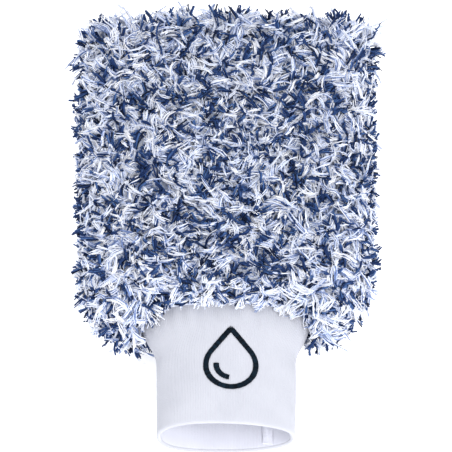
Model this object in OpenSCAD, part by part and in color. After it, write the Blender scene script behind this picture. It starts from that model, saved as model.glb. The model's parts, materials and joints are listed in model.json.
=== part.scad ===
// Microfibre wash mitt lying on its back, cuff towards -Y and fingers towards +Y.
// The origin is the centre of the mitt's footprint on the surface that it lies on.
// Every layer of the sewn stack is a solid of its own, and the cuff folds at the neck.

/* [Mitt body] */
// Width across the tips of the pile
body_w = 198; // [180:1:230]
// Length from the shoulders beside the cuff to the finger end, over the pile
body_l = 254; // [230:1:290]
// How far the shoulders reach past the neck, beside the cuff
shoulder_l = 26; // [20:1:32]
// Corner radius at the finger end
finger_r = 32; // [30:1:38]
// Corner radius at the shoulders
shoulder_r = 55; // [50:1:62]
// Rise of the finger end's middle above its corners
crown = 6; // [0:1:10]

/* [Layers] */
// Pile on the upper, front face
front_pile_t = 18; // [14:0.5:22]
// Pile on the lower, back face, pressed down by the mitt's weight
back_pile_t = 12; // [10:0.5:16]
// Pile around the edge
edge_pile_t = 17; // [14:0.5:18]
// Knitted cloth that the pile is rooted in
cloth_t = 1.2; // [0.8:0.1:1.6]
// Soft pad inside each face
wadding_t = 4.8; // [3:0.2:7]
// Smooth lining of the hand pocket
lining_t = 0.8; // [0.5:0.1:1.2]
// Height of the hand pocket
pocket_h = 28; // [24:1:32]
// Height of the sewn seams between the front and back halves
seam_t = 1.6; // [1:0.1:2.4]

/* [Cuff] */
// Length from the neck fold to the mouth
cuff_l = 81; // [70:1:90]
// Width along the straight of the cuff
cuff_w = 86; // [80:1:92]
// Width where the cuff flares into the neck
flare_w = 104; // [98:1:106]
// Height at the mouth, held open
mouth_h = 40; // [36:1:42]
// Height at the neck
neck_h = 41; // [38:0.5:41]
// One layer of the ribbed knit, which is folded double
rib_t = 1.3; // [1:0.1:1.6]
// Gap between the two layers
fold_gap = 0.4; // [0.3:0.1:0.6]
// How far the cuff droops towards the surface
droop = 5; // [3:0.5:6]

/* [Emblem] */
// Radius of the round end of the embroidered drop
drop_r = 17; // [12:1:18]
// Distance from the middle of the round end to the tip
drop_tip = 27; // [22:1:30]
// Width of the embroidered line
satin_w = 3.2; // [2:0.2:4]
// Height of the embroidery above the knit
satin_t = 0.7; // [0.4:0.1:1]
// Distance from the neck fold to the middle of the round end
emblem_s = 40; // [36:1:46]
// How far the emblem sits to the right of the cuff's middle
emblem_x = 3; // [0:1:6]

/* [Hidden] */

white = [0.9, 0.9, 0.94];
pale_grey = [0.78, 0.78, 0.82];
pile_blue = [0.45, 0.52, 0.72];
pad_cream = [0.93, 0.88, 0.7];
thread_navy = [0.05, 0.09, 0.16];

// Heights of the stack, from the surface up
lining_low = back_pile_t + cloth_t + wadding_t;
z_mid = lining_low + lining_t + pocket_h / 2;
lining_high = z_mid + pocket_h / 2 + lining_t;
cloth_high = lining_high + wadding_t + cloth_t;
z_top = cloth_high + front_pile_t;

// The cuff's mouth and the finger end are equally far from the origin
lip = 1; // rounding of the folded mouth
reach = cuff_l * cos(droop) + (mouth_h / 2 - lip) * sin(droop);
fold_to_tip = body_l - shoulder_l;
y_tip = (reach + fold_to_tip) / 2;
y_fold = y_tip - fold_to_tip;
y_shoulder = y_fold - shoulder_l;

// Room that the cuff needs to fold at the neck
fold_max = 60;   // largest fold towards the front
fold_r = 21.6;   // clears the cuff's end, which turns about the fold line
neck_half = flare_w / 2 + 4;
join_gap = 2.5;  // from the fold line to the pile beside the knit

// How far each layer's edge is set in from the pile's, and how much that edge is rounded
cloth_in = edge_pile_t;
wadding_in = cloth_in + cloth_t;
lining_in = wadding_in + wadding_t;
pocket_in = lining_in + lining_t;
pile_round = 28;
cloth_round = 12;
lining_round = 6.5;

edge_rings = 4;  // rings from the mid-plane to each flat face
cuff_sides = 56;
tiny = 0.01;

// ---- outlines and lofts ----

function arc(centre, r, from, to, steps) = [
    for (i = [0:steps]) let (a = from + (to - from) * i / steps)
        centre + r * [cos(a), sin(a)]
];

// The mitt seen from above, set in from the pile's edge.
// Its corners are arcs, and the finger end has a shallow crown.
function outline(inset) =
    let (
        half = body_w / 2,
        finger_y = y_tip - crown - finger_r,
        shoulder_y = y_shoulder + shoulder_r,
        span = half - finger_r
    )
    concat(
        arc([half - shoulder_r, shoulder_y], shoulder_r - inset, -90, 0, 8),
        arc([span, finger_y], finger_r - inset, 0, 80, 6),
        [for (i = [-3:3]) [-span * i / 4, y_tip - inset - crown * pow(i / 4, 2)]],
        arc([-span, finger_y], finger_r - inset, 100, 180, 6),
        arc([shoulder_r - half, shoulder_y], shoulder_r - inset, 180, 270, 8)
    );

// A closed solid through rings of equally many points
module loft(rings) {
    n = len(rings[0]);
    top = len(rings) - 1;
    sides = [
        for (k = [0:top - 1], i = [0:n - 1]) let (j = (i + 1) % n)
            [k * n + i, (k + 1) * n + i, (k + 1) * n + j, k * n + j]
    ];
    caps = [[for (i = [0:n - 1]) i], [for (i = [n - 1:-1:0]) top * n + i]];
    polyhedron(points = [for (ring = rings) each ring], faces = concat(sides, caps));
}

// A cushion shape: flat above and below, with its edge rounded by a quarter ellipse each way
module pillow(inset, low, high, round_by) {
    loft([
        for (k = [-edge_rings:edge_rings])
            let (
                a = 90 * k / edge_rings,
                z = z_mid + sin(a) * (k < 0 ? z_mid - low : high - z_mid)
            )
            [for (p = outline(inset + round_by * (1 - cos(a)))) [p[0], p[1], z]]
    ]);
}

module pile_shape() pillow(0, 0, z_top, pile_round);
module cloth_shape() pillow(cloth_in, back_pile_t, cloth_high, cloth_round);
module wadding_shape()
    pillow(wadding_in, back_pile_t + cloth_t, cloth_high - cloth_t, cloth_round - cloth_t);
module lining_shape() pillow(lining_in, lining_low, lining_high, lining_round);
module pocket_shape()
    pillow(pocket_in, lining_low + lining_t, lining_high - lining_t, lining_round - lining_t);

// ---- cuts that the layers share ----

module slab(low, high) {
    translate([-body_w, -body_l, low]) cube([2 * body_w, 2 * body_l, high - low]);
}

// The space that the cuff sweeps as it folds, seen from the side and run across the neck
module neck_room() {
    turn = [for (a = [-83:6:90 - fold_max]) fold_r * [cos(a), sin(a)]];
    up = z_top - z_mid + 2;
    lean = fold_r * [cos(90 - fold_max), sin(90 - fold_max)];
    rise = (up - lean[1]) / sin(fold_max);
    side = concat(
        [[-80, -z_mid - 2], [join_gap, -z_mid - 2]],
        turn,
        [lean, lean + rise * [-cos(fold_max), sin(fold_max)], [-80, up]]
    );
    translate([-neck_half, y_fold, z_mid])
        rotate([90, 0, 90]) linear_extrude(2 * neck_half) polygon(side);
}

// What lies between two nested shapes and between two heights, open at the neck
module shell(low, high) {
    intersection() {
        difference() {
            children(0);
            children(1);
            neck_room();
        }
        slab(low, high);
    }
}

seam_low = z_mid - seam_t / 2;
seam_high = z_mid + seam_t / 2;
above = z_top + 1;
below = -1;

// ---- mitt body ----

module front_pile() color(pile_blue) shell(z_mid, above) { pile_shape(); cloth_shape(); }
module back_pile() color(pile_blue) shell(below, z_mid) { pile_shape(); cloth_shape(); }
module front_cloth() color(pale_grey) shell(seam_high, above) { cloth_shape(); wadding_shape(); }
module back_cloth() color(pale_grey) shell(below, seam_low) { cloth_shape(); wadding_shape(); }
module front_lining() color(white) shell(seam_high, above) { lining_shape(); pocket_shape(); }
module back_lining() color(white) shell(below, seam_low) { lining_shape(); pocket_shape(); }

// A flat pad between the cloth and the lining
module wadding(low, high) {
    color(pad_cream) difference() {
        intersection() {
            wadding_shape();
            slab(low, high);
        }
        neck_room();
    }
}

module front_wadding() wadding(lining_high, cloth_high - cloth_t);
module back_wadding() wadding(back_pile_t + cloth_t, lining_low);

// Overlocked threads that join the two halves all round, open at the neck
module body_seam() color(white) shell(seam_low, seam_high) { cloth_shape(); wadding_shape(); }
module lining_seam() color(white) shell(seam_low, seam_high) { lining_shape(); pocket_shape(); }

// ---- cuff, drawn from the fold line along -Y ----

module in_cuff_frame() {
    translate([0, y_fold, z_mid]) rotate([droop, 0, 0]) children();
}

// Distance from the fold line, half width and half height of the cuff
cuff_start = -4;
stations = [
    [cuff_start, flare_w / 2, neck_h / 2],
    [6, flare_w / 2 - 0.5, neck_h / 2],
    [18, (flare_w + cuff_w) / 4, neck_h / 2],
    [30, cuff_w / 2 + 0.5, (neck_h + mouth_h) / 4],
    [50, cuff_w / 2, mouth_h / 2],
    [cuff_l - 2 * lip, cuff_w / 2, mouth_h / 2]
];

function oval(s, a, b) = [
    for (i = [0:cuff_sides - 1]) let (t = 360 * i / cuff_sides) [a * cos(t), -s, b * sin(t)]
];

// The cuff's outer surface, set in by a depth, from one end past the mouth or up to it
module sleeve(depth, mouth_depth, end) {
    last = stations[len(stations) - 1];
    loft(concat(
        [for (t = stations) oval(t[0], t[1] - depth, t[2] - depth)],
        [oval(end, last[1] - mouth_depth, last[2] - mouth_depth)]
    ));
}

wall = 2 * rib_t + fold_gap;

// A layer of the cuff between two depths, ending short of the mouth
module cuff_layer(outer, inner) {
    difference() {
        sleeve(outer, outer, cuff_l - lip);
        sleeve(inner, inner, cuff_l);
        translate([0, -cuff_start, 0]) cube([2 * flare_w, 2 * tiny, 2 * mouth_h], center = true);
    }
}

// One tube of ribbed knit, folded double at the mouth
module rib_cuff() {
    color(white) in_cuff_frame() difference() {
        sleeve(0, lip, cuff_l);
        sleeve(wall, wall - lip, cuff_l + tiny);
        difference() {
            sleeve(rib_t, rib_t, cuff_l - rib_t - lip);
            sleeve(rib_t + fold_gap, rib_t + fold_gap, cuff_l);
        }
    }
}

// The seam that closes the ribbed tube, a raised line inside the lower right of the cuff
module cuff_side_seam() {
    color(white) in_cuff_frame() intersection() {
        cuff_layer(wall, wall + 1);
        translate([cuff_w * 0.3, -cuff_l + lip + 1, -mouth_h]) cube([2, cuff_l - 1, mouth_h]);
    }
}

// Overlocked threads around the cut end of the cuff
module neck_seam() {
    overlock = 1.4;
    color(pale_grey) in_cuff_frame() difference() {
        loft([
            oval(cuff_start - overlock, flare_w / 2, neck_h / 2),
            oval(cuff_start, flare_w / 2, neck_h / 2)
        ]);
        loft([
            oval(cuff_start - 2 * overlock, flare_w / 2 - wall, neck_h / 2 - wall),
            oval(cuff_start + overlock, flare_w / 2 - wall, neck_h / 2 - wall)
        ]);
    }
}

// ---- embroidered emblem ----

module drop(r, tip) {
    hull() {
        circle(r, $fn = 32);
        translate([0, tip]) circle(0.6, $fn = 16);
    }
}

module drop_outline() {
    inner_r = drop_r - satin_w;
    difference() {
        drop(drop_r, drop_tip);
        drop(inner_r, drop_tip * inner_r / drop_r);
    }
}

// A short arc inside the drop, as light on water
module drop_highlight() {
    outer = drop_r - 2 * satin_w;
    intersection() {
        difference() {
            circle(outer, $fn = 32);
            circle(outer - satin_w, $fn = 32);
        }
        polygon([[0, 0], [-40, 4], [-40, -40], [-4, -40]]);
    }
}

// Lays a flat shape on the upper wall of the cuff, between two depths
module on_cuff(outer, inner) {
    intersection() {
        cuff_layer(outer, inner);
        translate([emblem_x, -emblem_s, 0]) linear_extrude(mouth_h) children();
    }
}

module emblem_outline() color(thread_navy) in_cuff_frame() on_cuff(-satin_t, 0) drop_outline();
module emblem_highlight() color(thread_navy) in_cuff_frame() on_cuff(-satin_t, 0) drop_highlight();

// Stiff backing behind the stitches, between the two layers of knit
module emblem_backing() {
    margin = 3;
    color(pale_grey) in_cuff_frame()
        on_cuff(rib_t, rib_t + fold_gap) drop(drop_r + margin, drop_tip + margin);
}

front_pile();
front_cloth();
front_wadding();
front_lining();
back_pile();
back_cloth();
back_wadding();
back_lining();
body_seam();
lining_seam();
rib_cuff();
cuff_side_seam();
neck_seam();
emblem_outline();
emblem_highlight();
emblem_backing();
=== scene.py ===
"""The looks of a microfibre wash mitt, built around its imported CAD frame.

Metres throughout, in the frame's own axes: the mitt lies on its back face with its fingers
towards +Y, its front face up and the mouth of its cuff towards -Y.
"""
import json
from math import cos, pi, radians, sin

import bmesh
import bpy
import numpy as np
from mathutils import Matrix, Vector


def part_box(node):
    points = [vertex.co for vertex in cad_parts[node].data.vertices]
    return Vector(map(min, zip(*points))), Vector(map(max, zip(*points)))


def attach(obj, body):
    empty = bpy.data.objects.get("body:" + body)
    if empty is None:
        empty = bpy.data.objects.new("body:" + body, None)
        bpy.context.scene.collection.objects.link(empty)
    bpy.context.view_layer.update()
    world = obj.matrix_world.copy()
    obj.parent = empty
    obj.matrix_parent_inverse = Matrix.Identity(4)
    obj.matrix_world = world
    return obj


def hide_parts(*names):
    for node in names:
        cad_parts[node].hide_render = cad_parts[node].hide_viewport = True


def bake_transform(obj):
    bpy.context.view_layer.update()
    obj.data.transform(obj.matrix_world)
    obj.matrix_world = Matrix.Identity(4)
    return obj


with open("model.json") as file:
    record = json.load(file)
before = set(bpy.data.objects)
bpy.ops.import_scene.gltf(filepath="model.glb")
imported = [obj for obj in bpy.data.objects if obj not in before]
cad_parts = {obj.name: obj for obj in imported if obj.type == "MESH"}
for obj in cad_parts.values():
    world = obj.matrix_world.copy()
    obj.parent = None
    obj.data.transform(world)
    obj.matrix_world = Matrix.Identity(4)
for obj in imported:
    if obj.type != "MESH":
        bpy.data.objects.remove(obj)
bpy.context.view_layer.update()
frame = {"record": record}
MM = 0.001
rng = np.random.default_rng(20)


# ---- what the frame says ----

def low(node):
    return np.array(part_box(node)[0])


def high(node):
    return np.array(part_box(node)[1])


JOINT = frame["record"]["behaviour"]["joints"][0]
FOLD = np.array(JOINT["pos_m"])
HALF_W = high("front_pile")[0]
TIP_Y = high("front_pile")[1]
SHOULDER_Y = low("front_pile")[1]
MID_Z = high("back_pile")[2]
PILE_TOP = high("front_pile")[2]

# The mitt seen from above. Its right finger corner is squarer than the left one.
FINGER_R = 32 * MM
RIGHT_FINGER_R = 20 * MM
SMALLEST_R = 1.5 * MM
SHOULDER_R = 55 * MM
CROWN = 6 * MM


class Layer:
    """A nested layer of the mitt: how far its edge is set in and rounded, and its two faces."""

    def __init__(self, front, back, rounding):
        self.inset = HALF_W - high(front)[0]
        self.top = high(front)[2]
        self.bottom = low(back)[2]
        self.rounding = rounding


CLOTH = Layer("front_cloth", "back_cloth", 12 * MM)
LINING = Layer("front_lining", "back_lining", 6.5 * MM)
CLOTH_T = 1.2 * MM
LINING_T = 0.8 * MM

# The cuff, along its own axis from the fold at the neck to its mouth
DROOP = radians(5)
CUFF_L = 81 * MM
CUFF_START = -5 * MM
CUFF_HALF_W = 43 * MM
FLARE_HALF_W = high("neck_seam")[0]
FLARE_L = 32 * MM
NECK_HALF_H = 20.5 * MM
NECK_L = 50 * MM
MOUTH_HALF_H = 20 * MM
RIB_T = 1.3 * MM
SLOT = 0.4 * MM
WALL = 2 * RIB_T + SLOT
# How far its knit strays from the plain oval, and over what distance
SLACK = 0.5 * MM
SLACK_SPAN = 45 * MM


# ---- numbers and meshes ----

# An odd direction, which each tube's cross-section is turned by
ANY_WAY = (0.37, 0.61, 0.7)
# Points closer than this are welded into one
WELD_GAP = 0.05 * MM


def smooth(x):
    """Eases from 0 to 1."""
    x = np.clip(x, 0, 1)
    return x * x * (3 - 2 * x)


def smoother(x):
    """Eases from 0 to 1, more gently at both ends."""
    x = np.clip(x, 0, 1)
    return x ** 3 * (10 - 15 * x + 6 * x * x)


def unit(v):
    return v / np.maximum(np.linalg.norm(v, axis=-1, keepdims=True), 1e-9)


def turned(a, b, turn):
    """Two directions at right angles, both turned by that angle in their own plane."""
    return np.cos(turn) * a + np.sin(turn) * b, np.cos(turn) * b - np.sin(turn) * a


def halton(count, base):
    """An even spread of numbers between 0 and 1."""
    left = np.arange(1, count + 1)
    result = np.zeros(count)
    share = 1.0
    while left.any():
        share /= base
        result += share * (left % base)
        left //= base
    return result


def waves(points, scale, seed, count=6):
    """Smooth noise between about -1 and 1, from a few sine waves of that wavelength."""
    picks = np.random.default_rng(seed)
    total = np.zeros(points.shape[:-1])
    for _ in range(count):
        way = unit(picks.normal(size=points.shape[-1]))
        length = scale * picks.uniform(0.7, 1.5)
        total += np.sin(points @ way * 2 * pi / length + picks.uniform(0, 2 * pi))
    return total / count ** 0.5


def piece(name, points, faces, materials, picks=None):
    """A mesh piece. faces lists index arrays, and picks says which material each face has."""
    mesh = bpy.data.meshes.new(name)
    mesh.vertices.add(len(points))
    mesh.vertices.foreach_set("co", np.asarray(points, np.float32).ravel())
    corners = np.concatenate([f.ravel() for f in faces])
    counts = np.concatenate([np.full(len(f), f.shape[1]) for f in faces])
    starts = np.concatenate([[0], np.cumsum(counts)[:-1]])
    mesh.loops.add(len(corners))
    mesh.loops.foreach_set("vertex_index", corners.astype(np.int32))
    mesh.polygons.add(len(counts))
    mesh.polygons.foreach_set("loop_start", starts.astype(np.int32))
    for material in materials:
        mesh.materials.append(material)
    if picks is not None:
        mesh.polygons.foreach_set("material_index", picks.astype(np.int32))
    mesh.update(calc_edges=True)
    mesh.shade_smooth()
    obj = bpy.data.objects.new(name, mesh)
    bpy.context.scene.collection.objects.link(obj)
    return obj


def weld(obj):
    """Joins points that lie in one place, and turns every face outward."""
    work = bmesh.new()
    work.from_mesh(obj.data)
    bmesh.ops.remove_doubles(work, verts=work.verts, dist=WELD_GAP)
    loose = [v for v in work.verts if not v.link_faces]
    bmesh.ops.delete(work, geom=loose, context="VERTS")
    bmesh.ops.recalc_face_normals(work, faces=work.faces)
    work.to_mesh(obj.data)
    work.free()
    obj.data.shade_smooth()


def grid_faces(rows, columns):
    """Quads between rows of points, joined round into a tube."""
    i, j = np.meshgrid(np.arange(rows - 1), np.arange(columns), indexing="ij")
    here = i * columns
    beyond = (i + 1) * columns
    k = (j + 1) % columns
    return np.stack([here + j, here + k, beyond + k, beyond + j], -1).reshape(-1, 4)


def tubes(paths, radii, sides):
    """Closed tubes along many paths at once: (strands, steps, 3) points, (strands, steps) radii."""
    count, steps, _ = paths.shape
    along = unit(np.gradient(paths, axis=1))
    aside = unit(np.cross(along.mean(1), ANY_WAY))
    across = unit(np.cross(along, aside[:, None]))
    up = np.cross(along, across)
    turn = 2 * pi * np.arange(sides)[:, None] / sides
    ring = np.cos(turn) * across[:, :, None] + np.sin(turn) * up[:, :, None]
    points = (paths[:, :, None] + radii[:, :, None, None] * ring).reshape(-1, 3)
    starts = np.arange(count)[:, None, None] * steps * sides
    faces = [(grid_faces(steps, sides)[None] + starts).reshape(-1, 4)]
    for end, step in ((starts[:, 0] + (steps - 1) * sides, 1), (starts[:, 0], -1)):
        for k in range(1, sides - 1, 2):
            corners = [0, k, k + 1, k + 2] if k + 2 < sides else [0, k, k + 1]
            faces.append(end + np.array(corners[::step]))
    return points, faces


def by_shade(shade, sides, colours):
    """Which of that many colours each face of such tubes has.

    shade has a number for each step, where 0 is the first colour and 1 the last.
    """
    along = (shade[:, 1:] + shade[:, :-1]) / 2
    caps = len(range(1, sides - 1, 2))
    walls = [np.repeat(along.ravel(), sides)]
    ends = [shade[:, -1]] * caps + [shade[:, 0]] * caps
    values = np.concatenate(walls + ends)
    return np.clip(values * colours, 0, colours - 1).astype(int)


# ---- materials ----

def new_material(name, roughness, sheen=0.0, colour=(0.8, 0.8, 0.8), shine=0.15):
    material = bpy.data.materials.new(name)
    material.use_nodes = True
    shader = material.node_tree.nodes["Principled BSDF"]
    shader.inputs["Base Color"].default_value = (*colour, 1)
    shader.inputs["Roughness"].default_value = roughness
    shader.inputs["Sheen Weight"].default_value = sheen
    shader.inputs["Specular IOR Level"].default_value = shine
    return material, material.node_tree, shader


def yarn(name, colours, roughness, sheen=0.0, shine=0.15):
    """One plain material for each of these colours, the darkest first."""
    return [
        new_material(f"{name}_{number}", roughness, sheen, colour, shine)[0]
        for number, colour in enumerate(colours, 1)
    ]


# How many patches of lighter and darker knit a metre holds
PATCHES = 60


def knit(name, dark, light, cell, depth, roughness=0.85, sheen=0.2):
    """A small knit: cells of that size, raised by depth, in softly changing patches of colour."""
    material, tree, shader = new_material(name, roughness, sheen)
    nodes, links = tree.nodes, tree.links
    place = nodes.new("ShaderNodeTexCoord")
    loops = nodes.new("ShaderNodeTexVoronoi")
    loops.inputs["Scale"].default_value = 1 / cell
    links.new(place.outputs["Object"], loops.inputs["Vector"])
    patch = nodes.new("ShaderNodeTexNoise")
    patch.inputs["Scale"].default_value = PATCHES
    links.new(place.outputs["Object"], patch.inputs["Vector"])
    ramp = nodes.new("ShaderNodeValToRGB")
    for element, edge, colour in zip(ramp.color_ramp.elements, (0.3, 0.7), (dark, light)):
        element.position = edge
        element.color = (*colour, 1)
    links.new(patch.outputs["Fac"], ramp.inputs["Fac"])
    links.new(ramp.outputs["Color"], shader.inputs["Base Color"])
    bump = nodes.new("ShaderNodeBump")
    bump.inputs["Distance"].default_value = depth
    bump.inputs["Strength"].default_value = 0.6
    links.new(loops.outputs["Distance"], bump.inputs["Height"])
    links.new(bump.outputs["Normal"], shader.inputs["Normal"])
    return [material]


# Painted shade: the second colour sits mostly at the strands' roots, deep in the pile, and the
# lighter ones towards the tips. The first, bluish one is mostly that of the bluish strands.
white_yarn = yarn("white_yarn", [
    (0.17, 0.24, 0.46),
    (0.66, 0.73, 0.92),
    (0.80, 0.83, 0.92),
    (0.85, 0.85, 0.88),
], 0.75, 0.1)
# Painted shade: the darkest colour sits mostly at the strands' roots, deep in the pile; which
# colour a strand has also differs at random.
blue_yarn = yarn("blue_yarn", [
    (0.005, 0.010, 0.032),
    (0.010, 0.026, 0.090),
    (0.020, 0.048, 0.150),
    (0.045, 0.095, 0.235),
], 0.7)
white_thread = yarn("white_thread", [
    (0.62, 0.64, 0.72),
    (0.85, 0.86, 0.9),
], 0.5, 0.1)
navy_thread = yarn("navy_thread", [
    (0.001, 0.003, 0.006),
    (0.002, 0.007, 0.013),
    (0.004, 0.012, 0.022),
], 0.5, shine=0.07)
ground_knit = knit("ground_knit", (0.45, 0.5, 0.64), (0.66, 0.69, 0.8), 1.4 * MM, 0.5 * MM)
lining_tricot = knit(
    "lining_tricot", (0.74, 0.76, 0.84), (0.84, 0.85, 0.9), 0.8 * MM, 0.2 * MM, roughness=0.6
)
pad_fibre = knit("pad_fibre", (0.8, 0.78, 0.7), (0.9, 0.88, 0.82), 2.5 * MM, 0.8 * MM)
backing_felt = knit("backing_felt", (0.7, 0.7, 0.72), (0.8, 0.8, 0.82), 1.2 * MM, 0.2 * MM)
# The cuff's knit outside and inside. The inside copy is lighter than the outside: painted light,
# standing in for light that comes through the knit into the cuff.
rib_knit = knit("rib_knit", (0.425, 0.43, 0.47), (0.45, 0.455, 0.495), 0.7 * MM, 0.2 * MM)
inner_knit_painted_light = knit("inner_knit_painted_light", (0.61, 0.615, 0.68), (0.65, 0.655, 0.72), 0.7 * MM, 0.2 * MM)


# ---- the mitt's shape ----

def arc(x, y, r, start, end, steps):
    """Points on an arc, the last one left out."""
    turn = np.radians(start + (end - start) * np.arange(steps) / steps)
    return np.column_stack([x + r * np.cos(turn), y + r * np.sin(turn)])


def line(start, end, steps):
    share = (np.arange(steps) / steps)[:, None]
    return np.array(start) * (1 - share) + np.array(end) * share


# How many points each stretch of the outline has, at every inset
SHOULDER_STEPS = 24
SIDE_STEPS = 34
CORNER_STEPS = 14
CROWN_STEPS = 30
FOOT_STEPS = 20


def outline(inset):
    """The mitt seen from above, set in from the pile's edge."""
    shoulder_x = HALF_W - SHOULDER_R
    shoulder_y = SHOULDER_Y + SHOULDER_R
    shoulder_r = SHOULDER_R - inset
    side = HALF_W - inset
    top = TIP_Y - CROWN - inset
    foot = SHOULDER_Y + inset
    left_r = max(FINGER_R - inset, SMALLEST_R)
    right_r = max(RIGHT_FINGER_R - inset, SMALLEST_R)
    share = 1 - 2 * np.arange(CROWN_STEPS) / CROWN_STEPS
    crown_x = share * (side - np.where(share > 0, right_r, left_r))
    crown = np.column_stack([crown_x, top + CROWN * (1 - share ** 2)])
    return np.concatenate([
        arc(shoulder_x, shoulder_y, shoulder_r, -90, 0, SHOULDER_STEPS),
        line((side, shoulder_y), (side, top - right_r), SIDE_STEPS),
        arc(side - right_r, top - right_r, right_r, 0, 90, CORNER_STEPS),
        crown,
        arc(left_r - side, top - left_r, left_r, 90, 180, CORNER_STEPS),
        line((-side, top - left_r), (-side, shoulder_y), SIDE_STEPS),
        arc(-shoulder_x, shoulder_y, shoulder_r, 180, 270, SHOULDER_STEPS),
        line((-shoulder_x, foot), (shoulder_x, foot), FOOT_STEPS),
    ])


# The notch at the neck is full up to one distance from the middle, and fades out by the other
NECK_IN = 45 * MM
NECK_OUT = 60 * MM
NOTCH_FADE = 60 * MM
NOTCH_GAP = 1.5 * MM


def neck_notch(points, start):
    """Draws the middle of the lower edge back, so that the layer starts behind the cuff's fold."""
    x, y = np.abs(points[..., 0]), points[..., 1]
    width = 1 - smooth((x - NECK_IN) / (NECK_OUT - NECK_IN))
    depth = 1 - smooth((y - start) / NOTCH_FADE)
    moved = points.copy()
    moved[..., 1] += np.maximum(FOLD[1] + NOTCH_GAP - start, 0) * width * depth
    return moved


# How far the spine, where a face's rings close, stays from either end
SPINE_IN = 70 * MM


def face_rings(inset, face_z, rounding, edge_steps=7, cap_steps=12):
    """Rings of points over one face of a layer, from its edge at the middle height to its spine."""
    rings = []
    for turn in np.linspace(0, pi / 2, edge_steps):
        ring = outline(inset + rounding * (1 - cos(turn)))
        z = MID_Z + (face_z - MID_Z) * sin(turn)
        rings.append(np.column_stack([ring, np.full(len(ring), z)]))
    rim = rings[-1]
    spine = rim.copy()
    spine[:, 0] = 0
    spine[:, 1] = np.clip(rim[:, 1], SHOULDER_Y + SPINE_IN, TIP_Y - SPINE_IN)
    for share in np.linspace(0, 1, cap_steps)[1:]:
        rings.append(rim + (spine - rim) * share)
    return neck_notch(np.array(rings), SHOULDER_Y + inset)


def cuff_half_sizes(s):
    """Half the cuff's width and height at a distance from the fold."""
    flare = 1 - smoother(s / FLARE_L)
    width = CUFF_HALF_W + (FLARE_HALF_W - CUFF_HALF_W) * flare
    height = MOUTH_HALF_H + (NECK_HALF_H - MOUTH_HALF_H) * (1 - smooth(s / NECK_L))
    return width, height


def round_cuff(turn, s):
    """How high a point at that angle round the cuff is, from -1 to 1.

    The oval's ends are fuller towards the mouth.
    """
    rise = np.sin(turn)
    fuller = 0.2 * smooth((s - 25 * MM) / (45 * MM))
    return np.sign(rise) * np.abs(rise) ** (1 - fuller)


def in_cuff(points):
    """How far along the cuff points lie, and their place across it, with 1 at its outer surface."""
    y, z = points[..., 1] - FOLD[1], points[..., 2] - FOLD[2]
    s = -y * cos(DROOP) - z * sin(DROOP)
    across = -y * sin(DROOP) + z * cos(DROOP)
    width, height = cuff_half_sizes(s)
    return s, points[..., 0] / width, across / height


def from_cuff(x, s, across):
    """The place in the frame of a point given across and along the cuff."""
    y = FOLD[1] - s * cos(DROOP) - across * sin(DROOP)
    z = FOLD[2] - s * sin(DROOP) + across * cos(DROOP)
    return np.stack([x, y, z], -1)


# How far behind the fold cloth and pile still follow the cuff's tube
TUBE_REACH = 16 * MM


def over_cuff(points, face_z, gap):
    """Lays one face of a layer over the end of the cuff, instead of across its opening."""
    s, x, z = in_cuff(points)
    side = 1 if face_z > MID_Z else -1
    width, height = cuff_half_sizes(s)
    rise = side * (height * np.sqrt(np.maximum(1 - x ** 2, 0)) + gap)
    covered = (s > -TUBE_REACH) & (np.abs(x) < 1) & (z * height * side < rise * side)
    return np.where(covered[..., None], from_cuff(x * width, s, rise), points)


# ---- cloths, pads and linings ----

def sheet_between(outer, inner, faces):
    """A closed sheet between two matching sets of points, with a wall along each open edge."""
    size = len(outer)
    edges = np.concatenate([faces[:, [k, (k + 1) % 4]] for k in range(4)])
    matched = np.isin(edges[:, 0] * size + edges[:, 1], edges[:, 1] * size + edges[:, 0])
    rim = edges[~matched]
    walls = np.stack([rim[:, 1], rim[:, 0], rim[:, 0] + size, rim[:, 1] + size], 1)
    return np.concatenate([outer, inner]), [faces, faces[:, ::-1] + size, walls]


# Between the cuff and the ground cloth laid over it
CLOTH_GAP = 0.3 * MM
# How far behind the fold the cloths are cut open for the cuff
OPEN_REACH = 22 * MM


def face_sheet(name, layer, front, thickness, material):
    """One sewn face of a layer, as cloth of that thickness with the neck left open."""
    face_z = layer.top if front else layer.bottom
    side = 1 if front else -1
    outer = face_rings(layer.inset, face_z, layer.rounding)
    inner = face_rings(layer.inset + thickness, face_z - side * thickness, layer.rounding)
    if layer is CLOTH:
        outer = over_cuff(outer, face_z, thickness + CLOTH_GAP)
        inner = over_cuff(inner, face_z, CLOTH_GAP)
    rows, columns = outer.shape[:2]
    faces = grid_faces(rows, columns)[:, ::side]
    s, x, z = in_cuff(outer.reshape(-1, 3))
    inside = (x ** 2 + z ** 2 < 0.98) & (s > -OPEN_REACH)
    faces = faces[~inside[faces].all(1)]
    points, parts = sheet_between(outer.reshape(-1, 3), inner.reshape(-1, 3), faces)
    obj = piece(name, points, parts, material)
    weld(obj)
    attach(obj, "mitt_body")
    return obj


def ground_cloth(side):
    name = f"{side}_ground_cloth"
    obj = face_sheet(name, CLOTH, side == "front", CLOTH_T, ground_knit)
    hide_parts(f"{side}_cloth")


def pocket_lining(side):
    name = f"{side}_pocket_lining"
    obj = face_sheet(name, LINING, side == "front", LINING_T, lining_tricot)
    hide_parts(f"{side}_lining")


ground_cloth("front")
ground_cloth("back")
pocket_lining("front")
pocket_lining("back")

# A pad may swell that far, and still keeps a gap to the cloths around it
PAD_SWELL = 0.5 * MM
PAD_GAP = 0.25 * MM
STITCHED_HALF_W = 3 * MM
SWELL_FRAMES = 20


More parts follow.
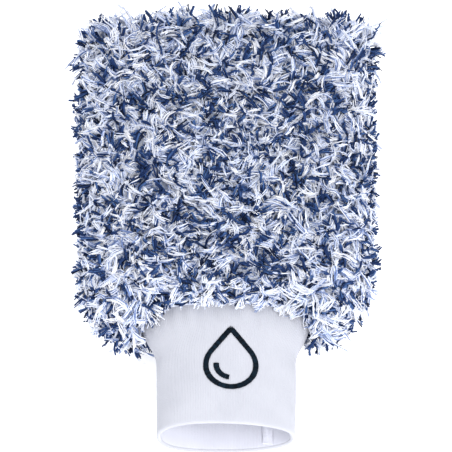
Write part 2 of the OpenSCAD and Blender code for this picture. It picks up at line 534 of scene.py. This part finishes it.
def swell(obj):
    """Blows a closed pad up by cloth simulation, with its stitched middle held in place."""
    scene = bpy.context.scene
    flat = np.array([v.co for v in obj.data.vertices])
    stitched = np.flatnonzero(np.abs(flat[:, 0]) < STITCHED_HALF_W)
    group = obj.vertex_groups.new(name="stitched")
    group.add(stitched.tolist(), 1.0, "REPLACE")
    cloth = obj.modifiers.new("cloth", "CLOTH")
    cloth.settings.mass = 0.1
    cloth.settings.use_pressure = True
    cloth.settings.uniform_pressure_force = 4
    cloth.settings.vertex_group_mass = group.name
    cloth.settings.effector_weights.gravity = 0
    for step in range(SWELL_FRAMES):
        scene.frame_set(step + 1)
    result = obj.evaluated_get(bpy.context.evaluated_depsgraph_get()).to_mesh()
    blown = np.array([v.co for v in result.vertices])
    obj.modifiers.remove(cloth)
    obj.vertex_groups.remove(group)
    scene.frame_set(1)
    moved = np.clip(blown - flat, -PAD_SWELL, PAD_SWELL)
    obj.data.vertices.foreach_set("co", (flat + moved).astype(np.float32).ravel())
    obj.data.update()


def pad_rings(inset, middle, half):
    """Rings of points over a flat pad, from its lower spine round its edge to its upper one."""
    edge = []
    for turn in np.linspace(-pi / 2, pi / 2, 7):
        rings = face_rings(inset + half * (1 - cos(turn)), middle, 0, edge_steps=1, cap_steps=20)
        ring = rings[0]
        ring[:, 2] = middle + half * sin(turn)
        edge.append(ring)
    lower = face_rings(inset + half, middle, 0, edge_steps=1, cap_steps=20)[1:]
    upper = lower.copy()
    lower[..., 2] = middle - half
    upper[..., 2] = middle + half
    return np.concatenate([lower[::-1], edge, upper])


def pad(name, node):
    """A flat pad with a soft round edge, sewn down along its middle and swollen beside it."""
    bottom, top = low(node)[2], high(node)[2]
    half = (top - bottom) / 2 - PAD_SWELL - PAD_GAP
    middle = (top + bottom) / 2
    rings = pad_rings(CLOTH.inset + CLOTH_T + CLOTH.rounding, middle, half)
    sewn = 0.5 * np.exp(-(rings[..., 0] / (5 * MM)) ** 2)
    rings[..., 2] += (middle - rings[..., 2]) * sewn
    rings[..., 2] += waves(rings[..., :2], 22 * MM, 5) * 0.12 * MM
    rows, columns = rings.shape[:2]
    obj = piece(name, rings.reshape(-1, 3), [grid_faces(rows, columns)], pad_fibre)
    weld(obj)
    swell(obj)
    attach(obj, "mitt_body")
    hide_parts(node)


pad("front_pad", "front_wadding")
pad("back_pad", "back_wadding")


# ---- sewn threads ----

LOOP_SIDES = 5
EDGE_LOOP_GAP = 2.4 * MM


def overlock(name, centres, outward, across, size, radius):
    """Thread loops over an edge, each one round its centre in the plane of outward and across."""
    turn = np.linspace(-0.75 * pi, 0.75 * pi, 9)[:, None]
    ahead = unit(np.gradient(centres, axis=0))
    ring = np.cos(turn) * outward[:, None] + np.sin(turn) * across[:, None]
    loops = centres[:, None] + size * ring
    loops += ahead[:, None] * (size * turn / pi)
    points, faces = tubes(loops, np.full(loops.shape[:2], radius), LOOP_SIDES)
    shade = np.repeat(rng.uniform(0, 1, (len(centres), 1)), len(turn), axis=1)
    picks = by_shade(shade, LOOP_SIDES, len(white_thread))
    return piece(name, points, faces, white_thread, picks)


def spaced(points, gap, closed=True):
    """Points along a path, a set gap apart."""
    if closed:
        points = np.concatenate([points, points[:1]])
    steps = np.linalg.norm(np.diff(points, axis=0), axis=1)
    length = np.concatenate([[0], np.cumsum(steps)])
    places = np.linspace(0, length[-1], int(length[-1] / gap), endpoint=not closed)
    return np.column_stack([np.interp(places, length, column) for column in points.T])


def edge_seam(name, node, layer, thickness):
    """Overlocked threads round the edge of two joined cloths, left out across the neck."""
    ring = outline(layer.inset + thickness)
    path = neck_notch(np.column_stack([ring, np.full(len(ring), MID_Z)]), SHOULDER_Y + layer.inset)
    centres = spaced(path, EDGE_LOOP_GAP)
    s, x, _ = in_cuff(centres)
    centres = centres[(np.abs(x) > 1.02) | (s < -10 * MM)]
    ahead = unit(np.gradient(centres, axis=0))
    outward = np.cross(ahead, [0, 0, 1])
    up = np.tile([0.0, 0.0, 1.0], (len(centres), 1))
    obj = overlock(name, centres, outward, up, 0.9 * MM, 0.22 * MM)
    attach(obj, "mitt_body")
    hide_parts(node)


edge_seam("body_overlock", "body_seam", CLOTH, CLOTH_T)
edge_seam("lining_overlock", "lining_seam", LINING, LINING_T)


# ---- pile ----

# From one tuft to the next, and from one clump of tufts that lean together to the next
TUFT_GAP = 3.9 * MM
CLUMP_GAP = 16 * MM
# How far the pile rises over the ground cloth
FRONT_DEPTH = PILE_TOP - CLOTH.top
BACK_DEPTH = CLOTH.bottom
EDGE_DEPTH = CLOTH.inset + 1.5 * MM
# Between the cuff and the roots above it, besides the cloth
ROOT_GAP = 0.4 * MM


def skin():
    """Both faces of the ground cloth's outer surface, as triangles with a normal at each corner."""
    corners = []
    for face_z in (CLOTH.top, CLOTH.bottom):
        plain = face_rings(CLOTH.inset, face_z, CLOTH.rounding)
        rings = over_cuff(plain, face_z, CLOTH_T + ROOT_GAP)
        around = np.roll(rings, -1, 1) - np.roll(rings, 1, 1)
        inward = np.gradient(rings, axis=0)
        normals = np.cross(around, inward)
        if face_z < MID_Z:
            normals = -normals
        normals[-1] = (0, 0, np.sign(face_z - MID_Z))
        rows, columns = rings.shape[:2]
        quads = grid_faces(rows, columns)
        triangles = np.concatenate([quads[:, [0, 1, 2]], quads[:, [0, 2, 3]]])
        places = rings.reshape(-1, 3)[triangles]
        facing = unit(normals.reshape(-1, 3))[triangles]
        corners.append(np.stack([places, facing], 1))
    return np.concatenate(corners)


def scatter(gap):
    """Roots spread evenly over the skin, one to a square of that side, and its normals there."""
    triangles = skin()
    a, b, c = (triangles[:, 0, k] for k in range(3))
    areas = np.linalg.norm(np.cross(b - a, c - a), axis=1) / 2
    total = np.cumsum(areas)
    count = int(total[-1] / gap ** 2)
    spots = (np.arange(count) + rng.uniform(0, 1, count)) * total[-1] / count
    picked = np.searchsorted(total, spots)
    u, v = halton(count, 3), halton(count, 5)
    flip = u + v > 1
    u[flip] = 1 - u[flip]
    v[flip] = 1 - v[flip]
    shares = np.stack([1 - u - v, u, v], 1)[:, :, None]
    roots = (triangles[picked, 0] * shares).sum(1)
    normals = (triangles[picked, 1] * shares).sum(1)
    return roots, unit(normals)


def comb_way(roots):
    """The way that the pile lies: outward near the edge, and in slow swirls over the middle."""
    centre_y = (SHOULDER_Y + TIP_Y) / 2
    level = np.zeros(len(roots))
    across = roots[:, 0] / HALF_W
    along = (roots[:, 1] - centre_y) / (TIP_Y - centre_y)
    away = np.stack([across, along, level], 1)
    edge = np.linalg.norm(away, axis=1, keepdims=True)
    flat = roots[:, :2]
    turn = 2.6 * waves(flat, 80 * MM, 3) + 1.3 * waves(flat, 30 * MM, 4) + 3.7
    swirl = np.stack([np.cos(turn), np.sin(turn), level], 1)
    return away * edge ** 2 * 0.5 + swirl * 0.6


# How far strands stay outside the cuff's tube, and how far behind the fold
CUFF_CLEAR = 2.4 * MM
CLEAR_REACH = 14 * MM


def clear_cuff(points):
    """Pushes strands out of the cuff's tube."""
    s, x, z = in_cuff(points)
    place = np.maximum(np.hypot(x, z), 1e-4)
    outside = 1 + CUFF_CLEAR / CUFF_HALF_W
    inside = (place < outside) & (s > -CLEAR_REACH)
    grow = np.where(inside, outside / place, 1)
    width, height = cuff_half_sizes(s)
    return np.where(inside[..., None], from_cuff(x * grow * width, s, z * grow * height), points)


def curling(roots, normals, ways, first, curl, tilt, length, steps):
    """Lines that leave their roots near the normal, lean over, and curl sideways on the way.

    first and curl turn them from the way that the pile lies, with one number a line.
    """
    share = np.linspace(0, 1, steps)
    angle = first[..., None] + curl[..., None] * share
    lean = tilt[0][..., None] + (tilt[1] - tilt[0])[..., None] * smooth(1.3 * share)
    ahead = ways[:, None, None]
    aside = np.cross(normals, ways)[:, None, None]
    flat = np.cos(angle)[..., None] * ahead + np.sin(angle)[..., None] * aside
    step = np.cos(lean)[..., None] * normals[:, None, None] + np.sin(lean)[..., None] * flat
    step *= length[..., None, None] / (steps - 1)
    return roots[:, None, None] + np.cumsum(step, axis=2) - step[:, :, :1]


def cut_to(paths, shares):
    """Each path cut off at its share of the length, with the same number of points."""
    steps = paths.shape[2]
    place = shares[..., None] * np.arange(steps)
    first = np.minimum(place.astype(int), steps - 2)
    part = (place - first)[..., None]
    start = np.take_along_axis(paths, first[..., None], 2)
    end = np.take_along_axis(paths, first[..., None] + 1, 2)
    return start * (1 - part) + end * part


# Pile hangs over the cuff by that much in the middle, and by more beside it
OVERHANG = 2 * MM
SIDE_OVERHANG = 6 * MM
TRIM_HALF_W = 54 * MM
SHORTEST_SHARE = 0.3


def neck_trim(paths):
    """The share of each path left after a cut along the ragged end of the pile over the cuff."""
    steps = paths.shape[2]
    x = np.abs(paths[..., 0])
    beside = smooth((x - 26 * MM) / (24 * MM))
    ragged = 2.5 * waves(paths[..., :1], 14 * MM, 31) + rng.uniform(-2, 1.5, (*paths.shape[:2], 1))
    last = FOLD[1] - OVERHANG - SIDE_OVERHANG * beside + ragged * MM
    beyond = (paths[..., 1] < last) & (x < TRIM_HALF_W) & (paths[..., 2] > FOLD[2])
    first = np.where(beyond.any(2), beyond.argmax(2), steps - 1)
    return np.maximum(first / (steps - 1), SHORTEST_SHARE)


def keep_clear(points):
    """Keeps strands out of the cuff and above the floor."""
    clear = clear_cuff(points)
    lowest = rng.uniform(1.1, 3.3, (*clear.shape[:2], 1)) * MM
    clear[..., 2] = np.maximum(clear[..., 2], lowest)
    return clear


# The share of strands that leave their lock
LOOSE_SHARE = 0.12
# Places on the mitt seen from above, as x, y and radius
LEFT_CORNER = (14 * MM - HALF_W, TIP_Y - 24 * MM, 14 * MM)
RIGHT_CORNER = (HALF_W - 14 * MM, TIP_Y - 16 * MM, 20 * MM)
LEFT_LOBE_END = (-52 * MM, SHOULDER_Y + 16 * MM, 12 * MM)
RIGHT_LOBE_END = (52 * MM, SHOULDER_Y + 16 * MM, 12 * MM)
RIGHT_SHOULDER = (HALF_W - 26 * MM, SHOULDER_Y + 27 * MM, 16 * MM)


class Tufts:
    """Where each tuft is rooted, the way it lies, and how far it may rise."""

    def __init__(self):
        roots, normals = scatter(TUFT_GAP)
        s, x, z = in_cuff(roots)
        free = (np.abs(x) > 1.02) | (np.abs(z) > 0.3) | (s < -TUBE_REACH)
        self.roots = roots[free]
        self.normals = normals[free]
        self.count = len(self.roots)
        self.above = np.clip(self.normals[:, 2], 0, 1)
        self.below = np.clip(-self.normals[:, 2], 0, 1)
        self.set_places()
        self.set_sizes()
        self.ways = self.combed()
        self.pull = self.clumped()

    def near(self, x, y, radius):
        """How close each root is to that place seen from above, from 0 to 1."""
        away = (self.roots[:, 0] - x) ** 2 + (self.roots[:, 1] - y) ** 2
        return np.exp(-away / radius ** 2)

    def set_places(self):
        """Where the pile is fuller, flatter or pulled aside."""
        x, y = self.roots[:, 0], self.roots[:, 1]
        beside = smooth((np.abs(x) - 38 * MM) / (16 * MM))
        self.near_neck = (1 - beside) * (1 - smooth((y - FOLD[1]) / (30 * MM)))
        self.lobes = 1 - smooth((y - SHOULDER_Y - 10 * MM) / (40 * MM))
        self.corners = 0.4 * self.near(*LEFT_CORNER) + 0.45 * self.near(*RIGHT_CORNER)
        self.lobe_ends = 0.6 * self.near(*LEFT_LOBE_END) + 0.3 * self.near(*RIGHT_LOBE_END)
        tucked = 0.45 * self.near(*RIGHT_SHOULDER)
        crest = 0.2 * smooth((y - TIP_Y + 40 * MM) / (20 * MM))
        self.fuller = self.corners + self.lobe_ends + crest - tucked

    def set_sizes(self):
        """How far strands rise over the cloth, how long they are, and how they wander and droop."""
        at_front = (FRONT_DEPTH - EDGE_DEPTH) * self.above
        at_back = (BACK_DEPTH - EDGE_DEPTH) * self.below
        depth = EDGE_DEPTH + at_front + at_back
        relief = np.clip(0.88 + 0.14 * waves(self.roots, 26 * MM, 9), 0.6, 1.05)
        self.depth = depth * relief * (1 - 0.35 * self.near_neck) * (1 + self.fuller)
        length = rng.uniform(19, 26, self.count) * MM
        self.length = length * (1 - 0.2 * self.below) * (1 - 0.2 * self.near_neck)
        self.length *= 1 + 0.15 * self.lobes + 0.7 * self.fuller
        self.wander = 1 - 0.6 * self.corners
        self.droop = 0.25 * np.clip(self.below + self.near_neck, 0, 1) - 0.7 * self.corners

    def combed(self):
        """The way that each tuft lies along the cloth."""
        lean = comb_way(self.roots) + rng.normal(0, 0.25, (self.count, 3))
        lean[:, 1] -= np.maximum(0.3 * self.near_neck, self.lobes) + 2 * self.lobe_ends
        lean[:, 1] += 1.5 * self.corners
        outward = np.sign(self.roots[:, 0])
        lean[:, 0] += (1.5 * self.corners - 3 * self.lobe_ends) * outward
        lean -= self.normals * (lean * self.normals).sum(1, keepdims=True)
        return unit(lean)

    def clumped(self):
        """How far the tips of each tuft are drawn to the middle of its clump."""
        centres, _ = scatter(CLUMP_GAP)
        nearest = np.linalg.norm(self.roots[:, None] - centres[None], axis=2).argmin(1)
        strength = rng.uniform(0.05, 0.5, (len(centres), 1))
        return (centres[nearest] - self.roots) * strength[nearest]

    def grow(self, each, steps, turn, curl, tilt, length, height):
        """Lines from each root, pressed down to the pile's depth: (tufts, lines, steps, 3)."""
        size = (self.count, each)
        wander = self.wander[:, None]
        lean = (rng.uniform(0.1, 0.5, size), rng.uniform(*tilt, size) + self.droop[:, None])
        first = rng.normal(0, turn, size) * wander
        curls = rng.normal(0, curl, size) * wander
        lengths = self.length[:, None] * rng.uniform(*length, size)
        paths = curling(self.roots, self.normals, self.ways, first, curls, lean, lengths, steps)
        share = np.linspace(0, 1, steps)[:, None]
        paths = paths + self.pull[:, None, None] * share ** 2
        normals = self.normals[:, None, None]
        rise = ((paths - self.roots[:, None, None]) * normals).sum(-1, keepdims=True)
        tallest = self.depth[:, None, None, None] * rng.uniform(*height, (*size, 1, 1))
        return paths - normals * np.maximum(rise - tallest, 0) * 0.85

    def locks(self, spine, each, half_width, wave, opens, ends):
        """A flat, wavy lock of fine strands along each of these lines.

        It opens out over that share of its length, and ends wider or narrower by a factor within
        ends. The result is (tufts, lines * each, steps, 3).
        """
        lines, steps = spine.shape[1:3]
        share = np.linspace(0, 1, steps)
        lock = (self.count, lines, 1, 1)
        size = (self.count, lines, each, 1)
        along = unit(np.gradient(spine, axis=2))
        across = unit(np.cross(along, self.normals[:, None, None]))
        across, up = turned(across, np.cross(across, along), rng.normal(0, 0.6, lock))
        end_width = rng.uniform(*ends, lock)
        spread = 0.3 + 0.7 * smooth((share - opens[0]) / (opens[1] - opens[0]))
        spread = spread * (1 + (end_width - 1) * smooth((share - 0.55) / 0.45))
        loose = rng.uniform(0, 1, size) < LOOSE_SHARE
        stray = (0.12 + 0.65 * loose) * half_width * rng.normal(0, 1, size) * share ** 2
        turns = share * rng.uniform(0.7, 1.6, lock)
        turns = turns + rng.uniform(0, 1, lock) + rng.normal(0, 0.1, size)
        waving = 2 * pi * turns
        aside = rng.uniform(-1, 1, size) * half_width * spread + stray + wave * np.sin(waving)
        lift = rng.uniform(-0.3, 0.3, size) * half_width * spread + 0.6 * wave * np.cos(waving)
        paths = spine[:, :, None] + aside[..., None] * across[:, :, None]
        paths = paths + lift[..., None] * up[:, :, None]
        paths = paths.reshape(self.count, lines * each, steps, 3)
        cut = rng.uniform(0.7, 1, paths.shape[:2])
        return keep_clear(cut_to(paths, np.minimum(cut, neck_trim(paths))))


tufts = Tufts()


# Each face's pile is in parts: one at the neck, and one for each cell of a grid
GRID_X = (-45 * MM, 0, 45 * MM)
GRID_Y = (SHOULDER_Y + 85 * MM, SHOULDER_Y + 165 * MM)
CELLS = (len(GRID_X) + 1) * (len(GRID_Y) + 1)
NECK_PART_HALF_W = 60 * MM
NECK_PART_L = 26 * MM


def part_of(roots):
    """Which part of its face's pile a tuft is in: 0 at the neck, or its cell's number."""
    column = np.digitize(roots[:, 0], GRID_X)
    row = np.digitize(roots[:, 1], GRID_Y)
    neck = (np.abs(roots[:, 0]) < NECK_PART_HALF_W) & (roots[:, 1] < FOLD[1] + NECK_PART_L)
    return np.where(neck, 0, 1 + row * (len(GRID_X) + 1) + column)


STRAND_SIDES = 3


class Fibre:
    """One colour of the pile: paths, radii and shades, each (tufts, strands, steps)."""

    def __init__(self, colour, material, paths, radii, shade, kept):
        self.colour = colour
        self.material = material
        self.paths = paths
        self.radii = radii
        self.shade = shade
        self.kept = kept

    def make(self, name, chosen):
        """The strands of the chosen tufts, as one piece."""
        kept = self.kept & chosen[:, None]
        picks = by_shade(self.shade[kept], STRAND_SIDES, len(self.material))
        points, faces = tubes(self.paths[kept], self.radii[kept], STRAND_SIDES)
        return piece(name, points, faces, self.material, picks)


def white_fibre():
    """Two flat locks a tuft. Their strands are thick where they crowd together at the root."""
    lines, each, steps = 2, 8, 6
    along = np.linspace(0, 1, steps)
    spine = tufts.grow(
        lines, steps, turn=1.1, curl=1.8, tilt=(1.1, 2.1), length=(0.72, 1.05), height=(0.85, 1.08)
    )
    paths = tufts.locks(
        spine, each, half_width=1.8 * MM, wave=0.9 * MM, opens=(0, 0.5), ends=(0.3, 1.2)
    )
    size = (tufts.count, lines * each, 1)
    radii = (0.52 - 0.24 * smooth(along / 0.8)) * MM * rng.uniform(0.8, 1.25, size)
    # Painted shade: each strand is darker towards its root, deep in the pile, and lighter towards
    # its tip; on top of that its tone differs at random, strand by strand and tuft by tuft.
    shade = 0.32 + 0.46 * along + rng.normal(0, 0.14, size)
    shade = shade + rng.normal(0, 0.08, (tufts.count, 1, 1))
    # A quarter of the strands are bluish all along: blue fibres among the white, and partly painted
    # bluish shade between the locks.
    bluish = rng.uniform(0, 1, size) < 0.25
    shade -= 0.5 * bluish
    return Fibre("white", white_yarn, paths, radii, shade, np.full(size[:2], True))


def blue_fibre():
    """Shorter locks that end among the white ones, more of them in some places than in others."""
    lines, each, steps = 3, 5, 6
    along = np.linspace(0, 1, steps)
    spine = tufts.grow(
        lines, steps, turn=1.1, curl=1.4, tilt=(0.4, 1.3), length=(0.6, 0.85), height=(0.8, 1.05)
    )
    paths = tufts.locks(
        spine, each, half_width=1.5 * MM, wave=0.4 * MM, opens=(0.45, 0.7), ends=(0.8, 1.3)
    )
    size = (tufts.count, lines * each, 1)
    thicker = 0.3 + 0.7 * smooth((along - 0.4) / 0.3)
    radii = 0.56 * MM * thicker * rng.uniform(0.75, 1.3, size)
    # Painted shade: each strand is darker at its root, deep in the pile, and lighter along its
    # middle; it turns a little darker again at the cut end, and its tone differs at random.
    shade = 0.15 + 0.45 * smooth(along * 1.5) - 0.1 * along + rng.normal(0, 0.28, size)
    share = 0.265 + 0.16 * waves(tufts.roots, 22 * MM, 15) + 0.15 * tufts.near_neck
    share = np.clip(share, 0.06, 1)[:, None]
    kept = np.repeat(rng.uniform(0, 1, (tufts.count, lines)) < share, each, axis=1)
    return Fibre("blue", blue_yarn, paths, radii, shade, kept)


def neck_pile(fibre, side, chosen):
    obj = fibre.make(f"{side}_{fibre.colour}_pile_neck", chosen)
    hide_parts(f"{side}_pile")
    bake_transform(obj)


def cell_pile(fibre, side, cell, chosen):
    obj = fibre.make(f"{side}_{fibre.colour}_pile_{cell}", chosen)
    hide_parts(f"{side}_pile")
    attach(obj, "mitt_body")


def grow_pile():
    parts = part_of(tufts.roots)
    on_front = tufts.roots[:, 2] > MID_Z
    faces = {"front": on_front, "back": ~on_front}
    for fibre in (white_fibre(), blue_fibre()):
        for side, facing in faces.items():
            neck_pile(fibre, side, facing & (parts == 0))
        for side, facing in faces.items():
            for cell in range(1, CELLS + 1):
                cell_pile(fibre, side, cell, facing & (parts == cell))


grow_pile()


# ---- cuff ----

# The cuff's ribs and the points round each one, how deep the ribs are, how far the wall swells
# towards the rim, and how deep the knit is gathered at the neck
RIBS = 200
RIB_POINTS = 4
RIB_DEPTH = 0.16 * MM
RIM_SWELL = 0.2 * MM
GATHER = 0.5 * MM


def bend_with_cuff(obj):
    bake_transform(obj)


def rim_length(turn):
    """How long the cuff is at an angle round it, as its folded mouth isn't quite square."""
    return CUFF_L - 1.8 * MM - 1.1 * MM * np.sin(turn) + 0.5 * MM * np.sin(2 * turn + 0.6)


def even_turns(count):
    """Angles round the mouth's oval that lie the same distance apart along it."""
    fine = np.linspace(0, 2 * pi, 4001)
    steps = np.hypot(CUFF_HALF_W * np.diff(np.cos(fine)), MOUTH_HALF_H * np.diff(np.sin(fine)))
    length = np.concatenate([[0], np.cumsum(steps)])
    return np.interp(np.arange(count) / count * length[-1], length, fine)


def slack_at(turn, width, s):
    """How far the knit strays from the plain oval at a place round and along the cuff."""
    here = np.stack([np.cos(turn) * width, np.sin(turn) * width, s], -1)
    return SLACK * waves(here, SLACK_SPAN, 11)


def gather_at(turn, s):
    """The small folds where the knit is gathered into its seam at the neck."""
    folds = np.sin(turn * 26 + 2 * np.sin(turn * 3))
    return GATHER * folds * np.exp(-np.maximum(s, 0) / (9 * MM))


def cuff_section():
    """The folded wall cut lengthwise, in rows of four shares.

    They are how far along the cuff it is, how deep in the wall, how ribbed, and how far past the
    end in walls. The rows go out along the outside, round the rim, back along the inside, and
    then out and back through the gap between the two layers.
    """
    rows = [(share, 0.0, 1.0, 0.0) for share in np.linspace(0, 1, 34)]
    for turn in np.linspace(0, pi, 9)[1:-1]:
        rows.append((1.0, 0.5 * (1 - cos(turn)), 1.0, 0.5 * sin(turn)))
    rows += [(share, 1.0, 1.0, 0.0) for share in np.linspace(1, 0, 24)]
    rows += [(share, (RIB_T + SLOT) / WALL, 0.0, 0.0) for share in np.linspace(0, 0.97, 14)]
    rows += [(share, RIB_T / WALL, 0.0, 0.0) for share in np.linspace(0.97, 0, 14)]
    return np.array(rows)


def rib_cuff():
    turns = even_turns(RIBS * RIB_POINTS)
    share, depth, ribbed, past = cuff_section().T[:, :, None]
    s = CUFF_START + (rim_length(turns) - CUFF_START) * share
    wall = WALL + RIM_SWELL * smooth((s - CUFF_L + 12 * MM) / (12 * MM))
    s = s + past * wall
    width, height = cuff_half_sizes(s)
    rib = RIB_DEPTH * (np.cos(np.arange(len(turns)) * 2 * pi / RIB_POINTS) - 1) * ribbed
    outward = np.where(depth > 0.5, -1, 1)
    off = rib * outward - depth * wall + slack_at(turns, width, s) + gather_at(turns, s)
    x = (width + off) * np.cos(turns)
    across = (height + off) * round_cuff(turns, s)
    points = from_cuff(x, s, across)
    rows, columns = points.shape[:2]
    faces = grid_faces(rows + 1, columns) % (rows * columns)
    # Faces inside the fold take the knit copy painted lighter, as painted light inside the cuff.
    knits = rib_knit + inner_knit_painted_light
    within = np.repeat(depth[:, 0] >= 1, columns)
    obj = piece("rib_knit_cuff", points.reshape(-1, 3), [faces[:, ::-1]], knits, within)
    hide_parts("rib_cuff")
    bend_with_cuff(obj)


rib_cuff()


def cuff_point(x, s, lift, upper=True):
    """A point above the cuff's outer surface, given across and along the cuff."""
    width, height = cuff_half_sizes(s)
    turn = np.arccos(np.clip(x / width, -1, 1)) * (1 if upper else -1)
    out = unit(np.stack([np.cos(turn) / width, np.sin(turn) / height], -1))
    off = lift + slack_at(turn, width, s)
    across = height * round_cuff(turn, s) + out[..., 1] * off
    return from_cuff(x + out[..., 0] * off, s, across)


NECK_LOOPS = 96


def neck_threads():
    """Overlocked threads round the cuff's cut end."""
    turns = even_turns(NECK_LOOPS)
    s = np.full(NECK_LOOPS, CUFF_START)
    width, height = cuff_half_sizes(s)
    x = (width - WALL / 2) * np.cos(turns)
    across = (height - WALL / 2) * np.sin(turns)
    outward = np.stack([np.cos(turns), np.zeros(NECK_LOOPS), np.sin(turns)], -1)
    back = np.tile([0.0, 1.0, 0.0], (NECK_LOOPS, 1))
    obj = overlock("neck_overlock", from_cuff(x, s, across), back, outward, 1.7 * MM, 0.25 * MM)
    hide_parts("neck_seam")
    bend_with_cuff(obj)


neck_threads()


# The welt starts and ends that far from the fold, and has a thread every so often
WELT_FROM = 2 * MM
WELT_TO = 78 * MM
WELT_GAP = 0.9 * MM
WELT_HALF_W = 3.4 * MM
WELT_H = 2.2 * MM
WELT_THREAD_R = 0.55 * MM


def side_seam():
    """The raised seam inside the lower right of the cuff, as a soft welt of slanted loops."""
    x = (low("cuff_side_seam")[0] + high("cuff_side_seam")[0]) / 2
    s = np.arange(WELT_FROM, WELT_TO, WELT_GAP)[:, None]
    share = np.linspace(-1, 1, 9)
    reach = WELT_HALF_W * share
    fading = smooth((WELT_TO - s) / (10 * MM))
    bulge = (1 - share ** 2) ** 1.5 * (1 - 0.6 * share)
    lift = -(WALL + 0.1 * MM + WELT_H * fading * bulge)
    places = np.broadcast_to(x + reach, lift.shape)
    paths = cuff_point(places, s + 0.3 * reach, lift, upper=False)
    points, faces = tubes(paths, np.full(paths.shape[:2], WELT_THREAD_R), 6)
    # The welt has the cuff's inner knit, painted lighter as painted light inside the cuff.
    obj = piece("cuff_inner_seam", points, faces, inner_knit_painted_light)
    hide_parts("cuff_side_seam")
    bend_with_cuff(obj)


side_seam()


# ---- emblem ----

# The drop's round end is centred there, along and across the cuff
DROP_S = 40 * MM
DROP_X = 3 * MM
DROP_R = 17 * MM
DROP_TIP = 27 * MM
SATIN_W = 3.2 * MM
STITCH_GAP = 0.45 * MM
STITCH_R = 0.27 * MM
STITCH_SIDES = 6
STITCH_LOW = 0.12 * MM
STITCH_PUFF = 0.5 * MM
BACKING_MARGIN = 3 * MM


def satin(name, node, path, closed):
    """Parallel stitches laid across a path on the cuff, padded up in their middle."""
    spots = spaced(path, STITCH_GAP, closed)
    if closed:
        ahead = np.roll(spots, -2, 0) - np.roll(spots, 2, 0)
    else:
        ahead = np.gradient(spots, axis=0)
    across = unit(np.stack([-ahead[:, 1], ahead[:, 0]], -1))
    share = np.linspace(-1, 1, 7)
    ragged = rng.uniform(0.92, 1.06, (len(spots), 1))
    reach = SATIN_W / 2 * share * ragged
    x = DROP_X + spots[:, :1] + across[:, :1] * reach
    s = DROP_S - spots[:, 1:] - across[:, 1:] * reach
    lift = STITCH_LOW + STITCH_PUFF * np.sqrt(1 - share ** 2)
    paths = cuff_point(x, s, lift)
    points, faces = tubes(paths, np.full(paths.shape[:2], STITCH_R), STITCH_SIDES)
    shade = np.repeat(rng.uniform(0, 1, (len(paths), 1)), len(share), axis=1)
    picks = by_shade(shade, STITCH_SIDES, len(navy_thread))
    obj = piece(name, points, faces, navy_thread, picks)
    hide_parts(node)
    bend_with_cuff(obj)


def drop_path(r, tip):
    """A water drop: most of a circle, drawn out to a point."""
    touch = np.arccos(r / tip)
    turn = np.linspace(pi / 2 - touch, -1.5 * pi + touch, 60)
    round_end = r * np.column_stack([np.cos(turn), np.sin(turn)])
    return np.concatenate([[[0, tip]], round_end])


def emblem_outline():
    r = DROP_R - SATIN_W / 2
    path = drop_path(r, DROP_TIP * r / DROP_R)
    satin("emblem_drop_outline", "emblem_outline", path, closed=True)


def emblem_highlight():
    """A short arc inside the drop, as light on water."""
    path = arc(0, 0, DROP_R - 2.5 * SATIN_W, 176, 264, 40)
    satin("emblem_drop_highlight", "emblem_highlight", path, closed=False)


emblem_outline()
emblem_highlight()


def emblem_backing():
    """A thin stiff sheet between the cuff's two layers, cut a little larger than the drop."""
    shape = drop_path(DROP_R + BACKING_MARGIN, DROP_TIP + BACKING_MARGIN)
    rings = shape * np.linspace(0.02, 1, 8)[:, None, None]
    x = DROP_X + rings[..., 0]
    s = DROP_S - rings[..., 1]
    upper = cuff_point(x, s, -(RIB_T + 0.1 * MM))
    lower = cuff_point(x, s, -(RIB_T + SLOT - 0.1 * MM))
    sheet = np.concatenate([upper, lower[::-1]])
    rows, columns = sheet.shape[:2]
    faces = [grid_faces(rows, columns)]
    obj = piece("emblem_stiffener", sheet.reshape(-1, 3), faces, backing_felt)
    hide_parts("emblem_backing")
    bend_with_cuff(obj)


emblem_backing()


# ---- floor, light and camera ----

def stage_floor():
    material, _, shader = new_material("floor", 0.9, colour=(0.95, 0.95, 0.95))
    shader.inputs["Emission Color"].default_value = (1, 1, 1, 1)
    shader.inputs["Emission Strength"].default_value = 0.45
    size = 3.0
    points = np.array([[-size, -size, 0], [size, -size, 0], [size, size, 0], [-size, size, 0]])
    mesh = bpy.data.meshes.new("floor")
    mesh.from_pydata(points.tolist(), [], [(0, 1, 2, 3)])
    mesh.materials.append(material)
    floor = bpy.data.objects.new("floor", mesh)
    bpy.context.scene.collection.objects.link(floor)


def area_light(name, place, size, power):
    light = bpy.data.lights.new(name, "AREA")
    light.size = size
    light.energy = power
    obj = bpy.data.objects.new(name, light)
    obj.location = place
    obj.rotation_euler = (Vector((0, 0, 0.03)) - Vector(place)).to_track_quat("-Z", "Y").to_euler()
    bpy.context.scene.collection.objects.link(obj)


def studio():
    scene = bpy.context.scene
    world = bpy.data.worlds.new("studio")
    world.use_nodes = True
    background = world.node_tree.nodes["Background"]
    background.inputs["Color"].default_value = (0.94, 0.96, 1, 1)
    background.inputs["Strength"].default_value = 1.35
    scene.world = world
    scene.view_settings.view_transform = "Standard"
    area_light("key", (0.55, -0.75, 1.0), 0.5, 6.5)
    area_light("fill", (0.1, -1.1, 0.85), 0.8, 7.5)
    area_light("back", (-0.3, 1.0, 1.0), 0.8, 2)


def camera():
    elevation = radians(57)
    distance = 4.5
    view_width = 0.2825
    sensor = 36
    target = Vector((0, -0.0024, MID_Z))
    data = bpy.data.cameras.new("camera")
    data.lens = sensor * distance / view_width
    data.sensor_width = sensor
    obj = bpy.data.objects.new("camera", data)
    obj.location = target + distance * Vector((0, -cos(elevation), sin(elevation)))
    obj.rotation_euler = (target - obj.location).to_track_quat("-Z", "Y").to_euler()
    bpy.context.scene.collection.objects.link(obj)
    bpy.context.scene.camera = obj


stage_floor()
studio()
camera()
